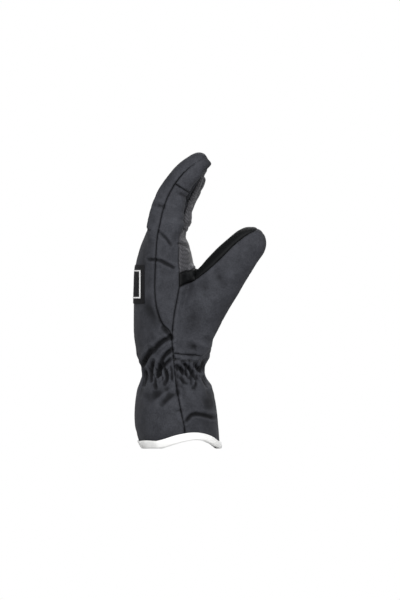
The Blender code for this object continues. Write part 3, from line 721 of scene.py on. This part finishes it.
class Finish:
    """Node tree of one material."""

    def __init__(self, name):
        self.material = bpy.data.materials.new(name)
        self.material.use_nodes = True
        self.tree = self.material.node_tree
        self.shader = self.tree.nodes["Principled BSDF"]
        place = self.node("ShaderNodeTexCoord", {}, {}, "Object")
        self.mm = self.node("ShaderNodeVectorMath", {"operation": "SCALE"}, {0: place, 3: 1000.0})

    def node(self, kind, settings, inputs, output=0):
        made = self.tree.nodes.new(kind)
        for key, value in settings.items():
            if key == "stops":
                ramp = made.color_ramp
                for spot, shade in value[1:-1]:
                    ramp.elements.new(spot)
                for element, (spot, shade) in zip(ramp.elements, value):
                    element.position = spot
                    element.color = (shade, shade, shade, 1)
            else:
                setattr(made, key, value)
        for key, value in inputs.items():
            if isinstance(value, Wire):
                self.tree.links.new(value.socket, made.inputs[key])
            else:
                made.inputs[key].default_value = value
        return Wire(self, made.outputs[output])

    def noise(self, size, detail=3.0, rough=0.55, stretch=(1, 1, 1)):
        """Noise whose lumps are about so many millimetres across."""
        place = self.node("ShaderNodeMapping", {}, {"Vector": self.mm, "Scale": stretch})
        return self.node("ShaderNodeTexNoise", {}, {"Vector": place, "Scale": 1.0 / size,
                                                    "Detail": detail, "Roughness": rough})

    def ramp(self, value, *stops):
        return self.node("ShaderNodeValToRGB", {"stops": stops}, {0: value})

    def attribute(self, name):
        return self.node("ShaderNodeAttribute", {"attribute_name": name}, {}, 2)

    def mix(self, share, first, second):
        first = first if isinstance(first, Wire) else (*first, 1)
        second = second if isinstance(second, Wire) else (*second, 1)
        return self.node("ShaderNodeMix", {"data_type": "RGBA"}, {0: share, 6: first, 7: second}, 2)

    def wave(self, turn, pitch, soften=0.0):
        """Ridges across a turned axis, from 0 to 1."""
        place = self.node("ShaderNodeMapping", {}, {"Vector": self.mm, "Rotation": turn})
        return self.node("ShaderNodeTexWave", {"wave_profile": "SIN"},
                         {"Vector": place, "Scale": 0.314 / pitch, "Distortion": soften})

    def bump(self, height, depth, strength=1.0, below=None):
        """Relief so many millimetres deep."""
        inputs = {"Height": height, "Distance": depth * MM, "Strength": strength}
        if below:
            inputs["Normal"] = below
        return self.node("ShaderNodeBump", {}, inputs)

    def end(self, colour, rough, normal, sheen=0.0, specular=0.5):
        for key, value in (("Base Color", colour), ("Roughness", rough), ("Normal", normal)):
            if isinstance(value, Wire):
                self.tree.links.new(value.socket, self.shader.inputs[key])
            elif value is not None:
                self.shader.inputs[key].default_value = value
        self.shader.inputs["Sheen Weight"].default_value = sheen
        self.shader.inputs["Sheen Roughness"].default_value = 0.45
        self.shader.inputs["Specular IOR Level"].default_value = specular
        return self.material


def shell_fabric(name, dark, light):
    """Charcoal twill softshell: fine diagonal threads, cloudy tone, painted fold light and shade,
    painted seam shade.
    """
    make = Finish(name)
    cloud = make.ramp(make.noise(9.0, 4.0, 0.6), (0.3, 0.0), (0.7, 1.0))
    fleck = make.ramp(make.noise(1.5, 3.0, 0.7), (0.3, 0.0), (0.7, 1.0))
    threads = make.wave((0.0, 0.8, 0.7), 0.62, 0.6)
    cross = make.wave((0.5, -0.8, 0.2), 0.5, 0.4)
    # Darker towards the seams: darker thread plus painted shade of the seam grooves.
    seam = make.ramp(make.attribute("seam") * 0.4, (0.0, 0.35), (0.28, 0.8), (0.6, 1.0))
    # Painted light and shade from the fold relief: darker in the valleys, lighter on the ridges,
    # which are also a little smoother.
    fold_shade_and_rub = make.ramp(make.attribute("relief") * 0.2 + 0.5, (0.1, 0.0), (0.5, 0.45), (0.8, 1.0))
    # Painted shade in the folds, near black at their bottoms.
    deep = make.ramp(make.attribute("relief") * 0.2 + 0.5,
                     (0.1, 0.0), (0.34, 0.3), (0.47, 0.88), (0.55, 1.0))
    tone = cloud * 0.33 + fleck * 0.42 + fold_shade_and_rub * 0.3 + threads * 0.1 - 0.085
    colour = make.mix(tone, dark, light)
    # Painted fold shade first, then darker thread and painted shade along the seams.
    colour = make.mix(deep, tuple(part * 0.3 for part in dark), colour)
    colour = make.mix(seam, tuple(part * 0.3 for part in dark), colour)
    rough = 0.72 + fleck * 0.12 - fold_shade_and_rub * 0.05
    relief = make.bump(threads * 0.6 + cross * 0.4, 0.10, 0.8)
    relief = make.bump(fleck, 0.10, 0.6, relief)
    relief = make.bump(make.noise(5.0, 4.0, 0.6), 0.5, 0.6, relief)
    return make.end(colour, rough, relief, specular=0.12)


def grip_fabric():
    """Palm fabric with a raised mesh of small rubbery lozenges."""
    make = Finish("grip_fabric")
    first = make.wave((0.6, 0.8, 0.0), 2.1)
    second = make.wave((-0.6, 0.8, 0.0), 2.1)
    lozenge = make.ramp(first * second, (0.12, 0.0), (0.4, 1.0))
    fleck = make.noise(1.1, 3.0, 0.7)
    cloud = make.noise(14.0, 3.0)
    # Darker towards the seams: darker thread plus painted shade of the seam grooves.
    seam = make.ramp(make.attribute("seam") * 0.4, (0.0, 0.3), (0.3, 0.8), (0.6, 1.0))
    tone = cloud * 0.35 + fleck * 0.5 + lozenge * 0.35 - 0.14
    colour = make.mix(tone, (0.016, 0.016, 0.019), (0.084, 0.083, 0.092))
    colour = make.mix(seam, (0.012, 0.012, 0.014), colour)
    relief = make.bump(lozenge, 0.30, 0.7)
    relief = make.bump(fleck, 0.25, 0.7, relief)
    return make.end(colour, 0.68 - lozenge * 0.14 + fleck * 0.1, relief, sheen=0.03, specular=0.35)


def black_leather():
    """Smooth black leather with a fine pebble and soft gloss."""
    make = Finish("black_leather")
    pebble = make.node("ShaderNodeTexVoronoi", {"feature": "DISTANCE_TO_EDGE"},
                       {"Vector": make.mm, "Scale": 0.8})
    grain = make.ramp(pebble, (0.0, 0.0), (0.12, 0.75), (0.4, 1.0))
    cloud = make.noise(9.0, 3.0)
    # Darker towards the seams: darker thread plus painted shade of the seam grooves.
    seam = make.ramp(make.attribute("seam") * 0.4, (0.0, 0.4), (0.3, 0.85), (0.6, 1.0))
    tone = cloud * 0.6 + grain * 0.3
    colour = make.mix(tone, (0.0015, 0.0017, 0.002), (0.0045, 0.005, 0.0055))
    colour = make.mix(seam, (0.003, 0.003, 0.003), colour)
    relief = make.bump(grain, 0.10, 0.5)
    relief = make.bump(make.noise(3.5, 3.0), 0.25, 0.4, relief)
    return make.end(colour, 0.55 + cloud * 0.14, relief, specular=0.1)


def label_weave():
    """Dense black woven patch."""
    make = Finish("label_weave")
    across = make.wave((0.0, 0.0, 1.5708), 0.8)
    up = make.wave((0.0, 1.5708, 0.0), 0.55)
    fleck = make.noise(1.0, 2.0, 0.7)
    tone = across * 0.3 + up * 0.3 + fleck * 0.4
    colour = make.mix(tone, (0.004, 0.004, 0.005), (0.014, 0.014, 0.015))
    relief = make.bump(across * up, 0.12, 0.8)
    return make.end(colour, 0.75 + fleck * 0.1, relief, specular=0.08)


def white_thread(name, light, pitch):
    """White yarn or tape: ribs, a little shade between them."""
    make = Finish(name)
    ribs = make.wave((0.0, 1.5708, 0.0), pitch)
    fleck = make.noise(1.2, 3.0, 0.6)
    soil = make.noise(18.0, 4.0)
    tone = fleck * 0.3 + ribs * 0.5 + soil * 0.2
    colour = make.mix(tone, tuple(part * 0.86 for part in light), light)
    relief = make.bump(ribs, 0.12, 0.7)
    relief = make.bump(fleck, 0.12, 0.6, relief)
    return make.end(colour, 0.78 + fleck * 0.1, relief, sheen=0.2, specular=0.3)


def wadding_finish():
    """Off-white polyester wadding: loose clouds of fibre."""
    make = Finish("wadding")
    clump = make.noise(6.0, 5.0, 0.65)
    fibre = make.noise(0.8, 4.0, 0.75, (1.0, 1.0, 0.3))
    colour = make.mix(clump * 0.6 + fibre * 0.4, (0.50, 0.50, 0.47), (0.80, 0.80, 0.77))
    relief = make.bump(clump, 0.8, 0.7)
    relief = make.bump(fibre, 0.2, 0.8, relief)
    return make.end(colour, 0.9 + fibre * 0.08, relief, sheen=0.3, specular=0.2)


def membrane_finish():
    """Thin milky film with small crinkles."""
    make = Finish("membrane")
    crinkle = make.noise(4.0, 4.0, 0.6)
    colour = make.mix(crinkle, (0.36, 0.37, 0.39), (0.52, 0.53, 0.55))
    relief = make.bump(crinkle, 0.4, 0.6)
    return make.end(colour, 0.35 + crinkle * 0.2, relief, specular=0.5)


def fleece(name, dark, light):
    """Brushed lining: short curled pile."""
    make = Finish(name)
    curl = make.node("ShaderNodeTexVoronoi", {"feature": "SMOOTH_F1"},
                     {"Vector": make.mm, "Scale": 0.55})
    fibre = make.noise(0.7, 4.0, 0.75)
    cloud = make.noise(12.0, 3.0)
    colour = make.mix(cloud * 0.4 + fibre * 0.35 + curl * 0.3, dark, light)
    relief = make.bump(curl, 0.6, 0.7)
    relief = make.bump(fibre, 0.25, 0.8, relief)
    return make.end(colour, 0.9 + fibre * 0.08, relief, sheen=0.35, specular=0.2)


def elastic_finish():
    """Black ribbed elastic."""
    make = Finish("elastic_tape")
    ribs = make.wave((0.0, 1.5708, 0.0), 1.4)
    fleck = make.noise(0.9, 3.0)
    colour = make.mix(ribs * 0.6 + fleck * 0.4, (0.010, 0.010, 0.010), (0.035, 0.035, 0.035))
    return make.end(colour, 0.75 + fleck * 0.1, make.bump(ribs, 0.3, 0.8), sheen=0.1, specular=0.3)


# --- Pieces -----------------------------------------------------------------------------------

def finished(piece, slot, material, *nodes):
    """Give a piece its material, its body and the CAD nodes it stands for; its slot is not used."""
    piece.data.materials.clear()
    piece.data.materials.append(material)
    for face in piece.data.polygons:
        face.use_smooth = True
    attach(piece, "root")
    if nodes:
        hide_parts(*nodes)
    return piece


def thickened(piece, thick):
    """Give a sheet its thickness, inwards from its face."""
    step = piece.modifiers.new("thickness", "SOLIDIFY")
    step.thickness = thick * MM
    step.offset = -1.0
    return piece


def take(body, name, keep):
    """Copy of the faces of the skin that are kept."""
    bm = bmesh.new()
    bm.from_mesh(body.data)
    bm.faces.ensure_lookup_table()
    drop = [bm.faces[index] for index in np.nonzero(~keep)[0]]
    bmesh.ops.delete(bm, geom=drop, context="FACES")
    return to_object(name, bm)


def sink(piece, depth):
    """Move a skin inwards along its own normals."""
    put_places(piece.data, places_of(piece.data) - normals_of(piece.data) * depth * MM)
    return piece


def face_middles(mesh):
    flat = np.zeros(len(mesh.polygons) * 3)
    mesh.polygons.foreach_get("center", flat)
    return flat.reshape(-1, 3)


def hem_height(middles):
    x, y = middles[:, 0] / MM - SHIFT, middles[:, 1] / MM
    angles = np.arctan2(y / 52.5, (x + 17.5) / 36.5)
    return np.array([hem_lift(angle) for angle in angles])


def layer_piece(inner, tree, name, keep, space, slot, material, give=0.0):
    """Piece of a layer under the skin, nowhere nearer to it than its depth."""
    depth, thick = space
    places, normals = places_of(inner.data), normals_of(inner.data)
    sunk = max(0.0, depth - FIRST_SINK) + give * np.clip((82.0 - places[:, 2] / MM) / 4.0, 0, 1)
    bm = bmesh.new()
    bm.from_mesh(inner.data)
    bm.faces.ensure_lookup_table()
    for vertex, place in zip(bm.verts, places - normals * sunk[:, None] * MM):
        vertex.co = place
    bmesh.ops.delete(bm, geom=[bm.faces[index] for index in np.nonzero(~keep)[0]], context="FACES")

    def short_of(place, deep):
        near, way, *_ = tree.find_nearest(place)
        return way, deep * MM + (place - near).dot(way)

    bm.verts.index_update()
    ways = []
    for vertex in bm.verts:
        way, short = short_of(vertex.co, depth)
        ways.append(way)
        if short > 0:
            vertex.co -= way * short
    for face in bm.faces:
        way, short = short_of(face.calc_center_median(), depth - 0.2)
        if short > 0:
            for vertex in face.verts:
                vertex.co -= way * short
    bmesh.ops.recalc_face_normals(bm, faces=bm.faces)
    cramped = []
    for face in bm.faces:
        middle = face.calc_center_median()
        around = [ways[vertex.index] for vertex in face.verts]
        across = min(first.dot(second) for first, second in zip(around, around[1:] + around[:1]))
        spots = [vertex.co for vertex in face.verts] + [middle, middle - face.normal * thick * MM]
        if across < 0 or any(short_of(spot, LEAST_DEPTH)[1] > 0 for spot in spots):
            cramped.append(face)
    bmesh.ops.delete(bm, geom=cramped, context="FACES")
    piece = to_object(name + "_layer", bm)
    return finished(thickened(piece, thick), slot, material, name)


def layers(body, elastic):
    """Wadding, waterproof film, linings and elastic, each in its own space under the shell."""
    tree = bvhtree.BVHTree.FromObject(body, bpy.context.evaluated_depsgraph_get())
    inner = to_object("inner", bmesh.new())
    inner.data = body.data.copy()
    remesh(sink(inner, FIRST_SINK), INNER_VOXEL)
    flat = face_middles(inner.data) / MM
    x, y, z = flat[:, 0] - SHIFT, flat[:, 1], flat[:, 2]
    tx, _, tz, lean = on_axis(THUMB, 0.56)
    ahead = (x - tx) * math.sin(lean) + (z - tz) * math.cos(lean) > 0
    beside = (x - tx) * math.cos(lean) - (z - tz) * math.sin(lean) > -24.0
    thumb = ahead & beside & (y < THUMB_WIDE)
    finger = np.searchsorted(GAPS, y)
    in_hand = z > HAND_FROM
    in_cuff = (z < CUFF_TO) & (z > hem_height(flat * MM) + TAPE_COVER)
    at_wrist = (z > 66.5) & (z < 77.5)
    soft = wadding_finish()
    zones = [("wadding_thumb", thumb, WADDING, 0.0),
             ("wadding_hand", ~thumb & in_hand & (z < FINGERS_FROM), WADDING, 1.2),
             ("wadding_cuff", in_cuff, CUFF_WADDING, 0.0)]
    zones += [("wadding_" + FINGER_NAMES[index], ~thumb & (z > FINGERS_FROM) & (finger == index),
               WADDING, 0.0) for index in range(4)]
    for name, keep, space, give in zones:
        made = layer_piece(inner, tree, name, keep, space, "wadding", soft, give)
    layer_piece(inner, tree, "wrist_elastic", at_wrist, ELASTIC, "elastic_tape", elastic)
    layer_piece(inner, tree, "waterproof_insert", in_hand, FILM, "membrane", membrane_finish())
    pile = fleece("lining_fleece", (0.022, 0.022, 0.025), (0.075, 0.076, 0.082))
    layer_piece(inner, tree, "lining_glove", in_hand, FLEECE, "lining_fleece", pile)
    layer_piece(inner, tree, "lining_cuff", in_cuff, CUFF_FLEECE, "lining_fleece", pile)
    bpy.data.objects.remove(inner)


def trimmed(body, name, planes):
    """Part of a skin inside some planes, given as (point in millimetres, outward direction)."""
    bm = bmesh.new()
    bm.from_mesh(body.data)
    for place, way in planes:
        everything = bm.faces[:] + bm.edges[:] + bm.verts[:]
        bmesh.ops.bisect_plane(bm, geom=everything, plane_co=Vector(place) * MM, plane_no=way,
                               clear_outer=True)
    return to_object(name, bm)


def label(body):
    """Bare woven patch on the back of the hand with a plain raised border."""

    def near_edge(margin):
        return LABEL_SIDE + SHIFT - margin * 0.8

    def block(margin):
        return [((near_edge(margin), 0, 0), (1, 0, 0)), ((0, LABEL_TO - margin, 0), (0, 1, 0)),
                ((0, 0, LABEL_LOW + margin), (0, 0, -1)), ((0, 0, LABEL_HIGH - margin), (0, 0, 1)),
                ((0, -60.0, 0), (0, -1, 0))]

    patch = sink(trimmed(body, "label_patch_cloth", block(0.0)), -0.7)
    for _ in range(3):
        relax(patch)
    finished(thickened(patch, 0.7), "label_weave", label_weave(), "label_patch")
    outer = trimmed(patch, "label_border", block(BORDER_OUT))
    bm = bmesh.new()
    bm.from_mesh(outer.data)
    for place, way in block(BORDER_IN)[:4]:
        everything = bm.faces[:] + bm.edges[:] + bm.verts[:]
        bmesh.ops.bisect_plane(bm, geom=everything, plane_co=Vector(place) * MM, plane_no=way)
    hollow = []
    for face in bm.faces:
        x, y, z = face.calc_center_median() / MM
        if (x < near_edge(BORDER_IN) and y < LABEL_TO - BORDER_IN
                and LABEL_LOW + BORDER_IN < z < LABEL_HIGH - BORDER_IN):
            hollow.append(face)
    bmesh.ops.delete(bm, geom=hollow, context="FACES")
    bm.to_mesh(outer.data)
    bm.free()
    sink(outer, -0.3)
    yarn = white_thread("border_yarn", (0.82, 0.82, 0.82), 0.9)
    finished(thickened(outer, 0.35), "white_binding", yarn)


def relax(piece):
    """Smooth a sheet, its edges kept."""
    bm = bmesh.new()
    bm.from_mesh(piece.data)
    inner = [vertex for vertex in bm.verts if not vertex.is_boundary]
    bmesh.ops.smooth_vert(bm, verts=inner, factor=0.5, use_axis_x=True, use_axis_y=True,
                          use_axis_z=True)
    bm.to_mesh(piece.data)
    bm.free()


def hem_binding():
    """Folded white tape over the hem: rounded edges, a little waviness."""
    count = 180
    rings = []
    for step in range(count):
        angle = 2 * math.pi * step / count
        ring = []
        for depth, height in TAPE_SECTION:
            back, palm, half, power = soft_row(HAND, height, 4.0)
            wave = 0.22 * math.sin(angle * 9 + 1.0) + 0.16 * math.sin(angle * 17 + 0.4)
            tall = 0.25 * math.sin(angle * 7) * (height / 7.0)
            reach = (palm - back) / 2 - depth + wave
            ring.append((SHIFT + (back + palm) / 2 + reach * squared(math.cos(angle), power),
                         (half - depth + wave) * squared(math.sin(angle), power),
                         max(0.0, height + tall * (height > 1)) + hem_lift(angle)))
        rings.append(ring)
    bm = bmesh.new()
    loops = []
    for ring in rings:
        made = bmesh.ops.create_circle(bm, segments=len(ring), radius=1.0)["verts"]
        for vertex, place in zip(made, ring):
            vertex.co = Vector(place) * MM
        loops.append(list({edge for vertex in made for edge in vertex.link_edges}))
    for low, high in zip(loops, loops[1:] + loops[:1]):
        bmesh.ops.bridge_loops(bm, edges=low + high)
    bmesh.ops.recalc_face_normals(bm, faces=bm.faces)
    piece = to_object("hem_binding_tape", bm)
    return finished(piece, "white_binding", white_thread("white_tape", (0.9, 0.9, 0.89), 0.9),
                    "hem_binding")


def stitches(name, spots, material):
    """Row of short thread stitches, each given as (place, direction, outward), in millimetres."""
    bm = bmesh.new()
    for place, along, out in spots:
        made = bmesh.ops.create_uvsphere(bm, u_segments=6, v_segments=4, radius=0.5)["verts"]
        side = Vector(along).cross(Vector(out)).normalized()
        for vertex in made:
            a, b, c = vertex.co
            vertex.co = (Vector(place) + Vector(along) * c * STITCH_LONG + side * a * STITCH_THICK
                         + Vector(out) * b * STITCH_THICK * 0.8) * MM
    bmesh.ops.recalc_face_normals(bm, faces=bm.faces)
    return finished(to_object(name, bm), "shell_fabric", material)


def walk(points, pitch):
    """Places a pitch apart along a line of points, with the way it runs there."""
    spots, left = [], pitch / 2
    for first, second in zip(points, points[1:]):
        way = second - first
        length = way.length
        while left < length:
            spots.append((first + way * (left / length), way.normalized()))
            left += pitch
        left -= length
    return spots


def on_skin(tree, angle, height):
    """Point of the skin at an angle round the wrist, with its outward direction."""
    heart = Vector((SHIFT - 24.0, 0, height)) * MM
    way = Vector((math.cos(angle), math.sin(angle), 0))
    place, normal, *_ = tree.ray_cast(heart + way * 0.2, -way)
    return place, normal


def root_stitching(body, thread):
    """Topstitched row under the root seam of the thumb."""
    tree = bvhtree.BVHTree.FromObject(body, bpy.context.evaluated_depsgraph_get())
    points, outs = [], []
    root_x, root_z = column(ROOT_LINE, 0), column(ROOT_LINE, 1)
    for step in range(121):
        angle = math.radians(-94 + step * 188 / 120)
        height = 84.0
        for _ in range(3):
            place, normal = on_skin(tree, angle, height)
            height = float(np.interp(place.x / MM - SHIFT, root_x, root_z)) - STITCH_DROP
        points.append(place / MM)
        outs.append(normal)
    near = kdtree.KDTree(len(points))
    for index, place in enumerate(points):
        near.insert(place, index)
    near.balance()
    spots = []
    for place, along in walk(points, STITCH_PITCH):
        out = outs[near.find(place)[1]]
        spots.append((place + out * 0.12, along, out))
    stitches("thumb_root_stitching", spots, thread)


# --- Picture ----------------------------------------------------------------------------------

def camera():
    """Square-on view of the thumb side without perspective."""
    data = bpy.data.cameras.new("camera")
    data.type = "ORTHO"
    data.ortho_scale = 0.564
    data.clip_end = 20
    eye = bpy.data.objects.new("camera", data)
    eye.location = (SHIFT * MM - 0.0005, -2.5, 0.1396)
    eye.rotation_euler = (math.pi / 2, 0, 0)
    bpy.context.scene.collection.objects.link(eye)
    bpy.context.scene.camera = eye


def softbox(name, place, aim, size, power):
    """Round soft lamp, in metres and watts."""
    data = bpy.data.lights.new(name, "AREA")
    data.shape = "DISK"
    data.size = size
    data.energy = power
    lamp = bpy.data.objects.new(name, data)
    lamp.location = place
    lamp.rotation_euler = (Vector(aim) - Vector(place)).to_track_quat("-Z", "Y").to_euler()
    bpy.context.scene.collection.objects.link(lamp)


def studio():
    """Even daylight, a soft lamp above the camera, weaker ones at the right and behind, a pale
    floor, and white wherever the camera, a reflection or a view through glass meets nothing."""
    bpy.context.scene.view_settings.view_transform = "Standard"
    world = bpy.data.worlds.new("studio")
    bpy.context.scene.world = world
    world.use_nodes = True
    tree = world.node_tree
    sky = tree.nodes["Background"]
    sky.inputs["Color"].default_value = (1, 1, 1, 1)
    sky.inputs["Strength"].default_value = 0.33
    white = tree.nodes.new("ShaderNodeBackground")
    white.inputs["Strength"].default_value = 1.0
    white.inputs["Color"].default_value = (1, 1, 1, 1)
    seen = tree.nodes.new("ShaderNodeLightPath")
    either = tree.nodes.new("ShaderNodeMixShader")
    ray = seen.outputs["Is Camera Ray"]
    for other in ("Is Transmission Ray", "Is Glossy Ray"):
        most = tree.nodes.new("ShaderNodeMath")
        most.operation = "MAXIMUM"
        tree.links.new(ray, most.inputs[0])
        tree.links.new(seen.outputs[other], most.inputs[1])
        ray = most.outputs[0]
    tree.links.new(ray, either.inputs[0])
    tree.links.new(sky.outputs[0], either.inputs[1])
    tree.links.new(white.outputs[0], either.inputs[2])
    tree.links.new(either.outputs[0], tree.nodes["World Output"].inputs["Surface"])
    softbox("key", (-0.1, -1.9, 1.2), (0, 0, 0.17), 0.6, 46)
    softbox("fill", (1.3, -1.2, 0.6), (0, 0, 0.14), 0.9, 3.5)
    softbox("back", (0.3, 1.6, 1.2), (0, 0, 0.14), 1.0, 12)
    bm = bmesh.new()
    bmesh.ops.create_grid(bm, x_segments=1, y_segments=1, size=3.0)
    floor = to_object("floor", bm)
    make = Finish("floor")
    grain = make.noise(40.0, 3.0)
    colour = make.mix(grain, (0.78, 0.78, 0.78), (0.82, 0.82, 0.82))
    floor.data.materials.append(make.end(colour, 0.8, make.bump(grain, 0.2, 0.2), specular=0.2))


# --- The whole glove --------------------------------------------------------------------------

body, panels = dress_skin()
middles = face_middles(body.data)
above_hem = middles[:, 2] / MM > hem_height(middles) + TAPE_COVER

shell = shell_fabric("shell_fabric", (0.0115, 0.012, 0.0148), (0.0515, 0.0535, 0.0624))
grip = grip_fabric()
leather = black_leather()
for name in ("back_panel", "index_side_strip", "index_tip_cap", "fourchette_index_middle",
             "fourchette_middle_ring", "fourchette_ring_little", "thumb_shell", "palm_cuff_panel",
             "palm_panel", "thumb_leather", "thumb_crotch"):
    part = thickened(take(body, name + "_skin", (panels == name) & above_hem), SHELL_THICK)
    if name == "palm_panel":
        finished(part, "grip_fabric", grip, name)
    elif name in ("thumb_leather", "thumb_crotch"):
        finished(part, "black_leather", leather, name)
    else:
        finished(part, "shell_fabric", shell, name)
elastic = elastic_finish()
layers(body, elastic)
label(body)
hem_binding()
root_stitching(body, elastic)
bpy.data.objects.remove(body)
camera()
studio()
